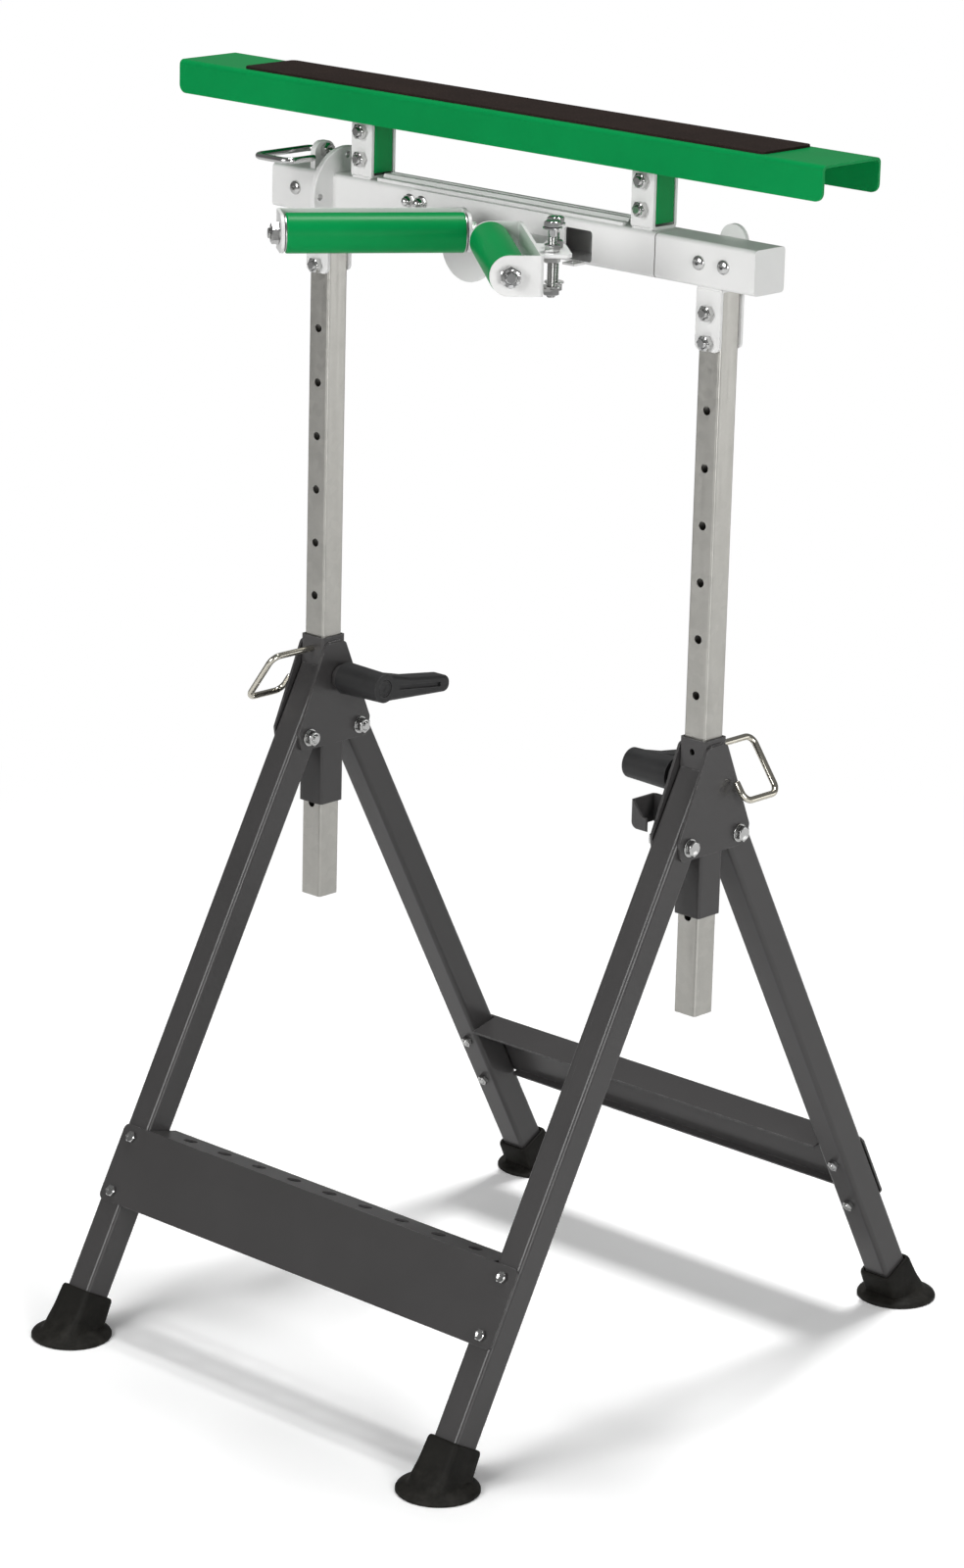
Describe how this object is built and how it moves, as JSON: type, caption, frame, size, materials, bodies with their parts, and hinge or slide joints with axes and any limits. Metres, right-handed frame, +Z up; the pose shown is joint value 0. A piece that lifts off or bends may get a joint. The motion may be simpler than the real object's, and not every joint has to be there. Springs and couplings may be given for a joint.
{
  "type": "material support stand",
  "caption": "Folding floor stand for long stock: padded work channel and V rollers on a turning head, carried on height-adjustable posts in hinged legs with rubber feet.",
  "frame": {"origin": "on the floor, at the middle of the stand's bounding box", "axes": "+Z up, -Y the front with the V rollers and tool shelf, +X to the right along the channel, seen from the front"},
  "size_m": [0.78, 0.7226, 1.1625],
  "materials": {
    "green_paint": "smooth green enamel",
    "white_paint": "white powder coat",
    "dark_paint": "dark grey powder coat",
    "zinc_steel": "bright zinc plate",
    "galvanised_steel": "galvanised tube",
    "plated_wire": "yellow zinc wire",
    "black_rubber": "moulded black rubber",
    "black_plastic": "moulded black plastic",
    "bearing_steel": "turned steel",
    "nylon": "natural nylon"
  },
  "bodies": {
    "base": {"left_sleeve": "dark_paint", "right_sleeve": "dark_paint", "left_inner_hinge_plate": "dark_paint", "left_outer_hinge_plate": "dark_paint", "right_inner_hinge_plate": "dark_paint", "right_outer_hinge_plate": "dark_paint", "clamp_nuts": "dark_paint", "catch_bracket": "dark_paint", "leg_pivot_fasteners": "zinc_steel"},
    "front_legs": {"left_front_leg": "dark_paint", "right_front_leg": "dark_paint", "front_rail": "dark_paint", "front_rail_fasteners": "zinc_steel", "left_front_foot": "black_rubber", "right_front_foot": "black_rubber"},
    "rear_legs": {"left_rear_leg": "dark_paint", "right_rear_leg": "dark_paint", "rear_rail": "dark_paint", "rear_rail_fasteners": "zinc_steel", "left_rear_foot": "black_rubber", "right_rear_foot": "black_rubber"},
    "carriage": {"left_post": "galvanised_steel", "right_post": "galvanised_steel", "left_post_bracket": "white_paint", "right_post_bracket": "white_paint", "post_bracket_fasteners": "zinc_steel", "left_end_block": "white_paint", "right_end_block": "white_paint", "bearing_bushes": "nylon", "bush_bolts": "zinc_steel", "index_tab": "white_paint", "index_guide_nut": "zinc_steel"},
    "head": {"head_beam": "white_paint", "top_strip": "white_paint", "index_plate": "white_paint", "right_stub_shaft": "zinc_steel", "left_upright_bracket": "white_paint", "right_upright_bracket": "white_paint", "upright_fasteners": "zinc_steel", "left_upright": "green_paint", "right_upright": "green_paint", "work_channel": "green_paint", "channel_pad": "black_rubber", "roller_carrier": "white_paint", "carrier_bolts": "zinc_steel", "left_roller_bracket": "white_paint", "right_roller_bracket": "white_paint", "roller_axles": "zinc_steel", "adjuster_fasteners": "zinc_steel"},
    "left_lever": {"left_clamp_lever": "black_plastic", "left_clamp_screw": "zinc_steel"},
    "right_lever": {"right_clamp_lever": "black_plastic", "right_clamp_screw": "zinc_steel"},
    "left_pin": {"left_lock_pin": "plated_wire"},
    "right_pin": {"right_lock_pin": "plated_wire"},
    "index_pin": {"index_pin": "plated_wire"},
    "left_roller": {"left_roller": "green_paint", "left_roller_caps": "bearing_steel"},
    "right_roller": {"right_roller": "green_paint", "right_roller_caps": "bearing_steel"}
  },
  "joints": [
    {"name": "front_leg_fold", "type": "hinge", "parent": "base", "child": "front_legs", "pos_m": [0.012, -0.034, 0.535], "axis": [1, 0, 0], "range_deg": [0, 28]},
    {"name": "rear_leg_fold", "type": "hinge", "parent": "base", "child": "rear_legs", "pos_m": [0.012, 0.034, 0.535], "axis": [-1, 0, 0], "range_deg": [0, 28]},
    {"name": "height_slide", "type": "slide", "parent": "base", "child": "carriage", "axis": [0, 0, 1], "range_m": [-0.309, 0.1545]},
    {"name": "head_turn", "type": "hinge", "parent": "carriage", "child": "head", "pos_m": [0, 0, 1.054], "axis": [1, 0, 0], "range_deg": [-90, 0]},
    {"name": "left_roller_spin", "type": "hinge", "parent": "head", "child": "left_roller", "pos_m": [-0.042, -0.1295, 1.054], "axis": [0.6157, 0.788, 0], "continuous": true},
    {"name": "right_roller_spin", "type": "hinge", "parent": "head", "child": "right_roller", "pos_m": [0.1134, -0.1345, 1.054], "axis": [0.7547, -0.6561, 0], "continuous": true},
    {"name": "left_lever_turn", "type": "hinge", "parent": "base", "child": "left_lever", "pos_m": [-0.2, 0.006, 0.588], "axis": [1, 0, 0], "range_deg": [-90, 90]},
    {"name": "right_lever_turn", "type": "hinge", "parent": "base", "child": "right_lever", "pos_m": [0.224, -0.006, 0.588], "axis": [1, 0, 0], "range_deg": [-90, 90]},
    {"name": "left_pin_push", "type": "slide", "parent": "base", "child": "left_pin", "axis": [0, 1, 0], "range_m": [0, 0.035]},
    {"name": "right_pin_push", "type": "slide", "parent": "base", "child": "right_pin", "axis": [0, -1, 0], "range_m": [0, 0.035]},
    {"name": "index_pin_push", "type": "slide", "parent": "carriage", "child": "index_pin", "axis": [1, 0, 0], "range_m": [0, 0.008]}
  ]
}
